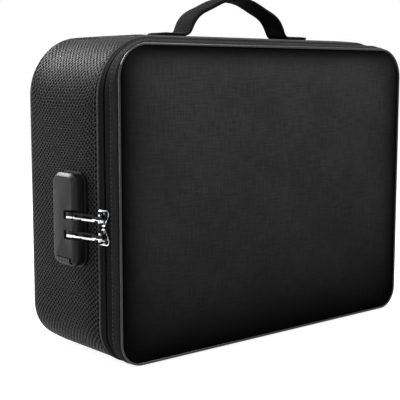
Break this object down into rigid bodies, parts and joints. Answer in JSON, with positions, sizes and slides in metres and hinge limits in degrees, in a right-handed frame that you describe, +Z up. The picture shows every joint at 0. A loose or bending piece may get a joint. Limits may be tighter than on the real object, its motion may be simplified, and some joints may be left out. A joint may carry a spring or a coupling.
{
  "type": "soft-sided document case with combination lock",
  "caption": "Black soft-sided document case with a padded lid, a zip round three sides, a webbing handle and a combination lock that holds the zip pullers.",
  "frame": {"origin": "middle of the flat face that the case stands on", "axes": "+X along the width with the lock on the -X side, the lid faces -Y, +Z up"},
  "size_m": [0.3728, 0.1272, 0.307],
  "materials": {
    "panel_fabric": "fine matt weave over padding, near black",
    "woven_side": "coarse dotted weave, black with a soft grey sheen",
    "plain_fabric": "plain black cloth",
    "welt": "smooth satin black piping",
    "edge_binding": "ribbed black edge tape",
    "zip_tape": "woven black zip tape",
    "zip_coil": "black nylon coil",
    "lining": "grey lining cloth",
    "pocket_mesh": "fine dark pocket cloth",
    "pocket_board": "dark cloth over stiffener",
    "webbing": "black ribbed webbing",
    "zip_metal": "bright polished zip metal",
    "lock_plastic": "satin black moulded plastic",
    "dial_plastic": "black dial plastic",
    "button_plastic": "dark grey button plastic",
    "lock_steel": "plain steel inside the lock"
  },
  "bodies": {
    "case": {"back_panel": "panel_fabric", "back_welt": "welt", "lock_side_wall": "woven_side", "spine_side_wall": "woven_side", "top_wall": "plain_fabric", "base_wall": "plain_fabric", "body_lining": "lining", "body_edge_binding": "edge_binding", "body_zip_tape": "zip_tape", "body_zip_coil": "zip_coil", "spine_hinge": "plain_fabric", "zip_end_tab_top": "plain_fabric", "zip_end_tab_base": "plain_fabric", "document_pocket": "pocket_board", "padded_divider": "pocket_board", "divider_sleeve": "pocket_mesh", "handle_strap": "webbing", "handle_anchor_lock_side": "pocket_board", "handle_anchor_spine_side": "pocket_board", "lock_base": "lock_plastic", "lock_housing": "lock_plastic", "dial_spindle": "lock_steel", "detent_spring": "lock_steel", "lock_backplate": "lock_steel", "upper_lock_screw": "lock_steel", "lower_lock_screw": "lock_steel"},
    "lid": {"lid_panel": "panel_fabric", "lid_welt": "welt", "lid_rim": "plain_fabric", "lid_lining": "lining", "lid_pocket": "pocket_mesh", "lid_zip_tape": "zip_tape", "lid_zip_coil": "zip_coil"},
    "upper_slider": {"upper_slider": "zip_metal"},
    "upper_puller": {"upper_puller": "zip_metal"},
    "lower_slider": {"lower_slider": "zip_metal"},
    "lower_puller": {"lower_puller": "zip_metal"},
    "dial_1": {"dial_1": "dial_plastic"},
    "dial_2": {"dial_2": "dial_plastic"},
    "dial_3": {"dial_3": "dial_plastic"},
    "latch": {"latch_plate": "lock_steel", "release_button": "button_plastic"}
  },
  "joints": [
    {"name": "lid_hinge", "type": "hinge", "parent": "case", "child": "lid", "pos_m": [0.1752, -0.05155, 0.135], "axis": [0, 0, 1], "range_deg": [0, 178]},
    {"name": "upper_slider_travel", "type": "slide", "parent": "case", "child": "upper_slider", "axis": [0, 0, 1], "range_m": [0, 0.012]},
    {"name": "upper_puller_swing", "type": "hinge", "parent": "upper_slider", "child": "upper_puller", "pos_m": [-0.18208, -0.04675, 0.1237], "axis": [0, 0, 1], "range_deg": [0, 110]},
    {"name": "lower_slider_travel", "type": "slide", "parent": "case", "child": "lower_slider", "axis": [0, 0, -1], "range_m": [0, 0.012]},
    {"name": "lower_puller_swing", "type": "hinge", "parent": "lower_slider", "child": "lower_puller", "pos_m": [-0.18208, -0.04675, 0.1087], "axis": [0, 0, 1], "range_deg": [0, 110]},
    {"name": "dial_1_turn", "type": "hinge", "parent": "case", "child": "dial_1", "pos_m": [-0.1865, 0.00415, 0.1367], "axis": [0, 0, 1], "continuous": true},
    {"name": "dial_2_turn", "type": "hinge", "parent": "case", "child": "dial_2", "pos_m": [-0.1865, 0.00415, 0.1225], "axis": [0, 0, 1], "continuous": true},
    {"name": "dial_3_turn", "type": "hinge", "parent": "case", "child": "dial_3", "pos_m": [-0.1865, 0.00415, 0.1083], "axis": [0, 0, 1], "continuous": true},
    {"name": "latch_slide", "type": "slide", "parent": "case", "child": "latch", "axis": [0, -1, 0], "range_m": [0, 0.002]}
  ],
  "couplings": [
    {"joint": "upper_puller_swing", "follows": "upper_slider_travel", "rad_per_m": 159.99},
    {"joint": "lower_puller_swing", "follows": "lower_slider_travel", "rad_per_m": 159.99}
  ]
}
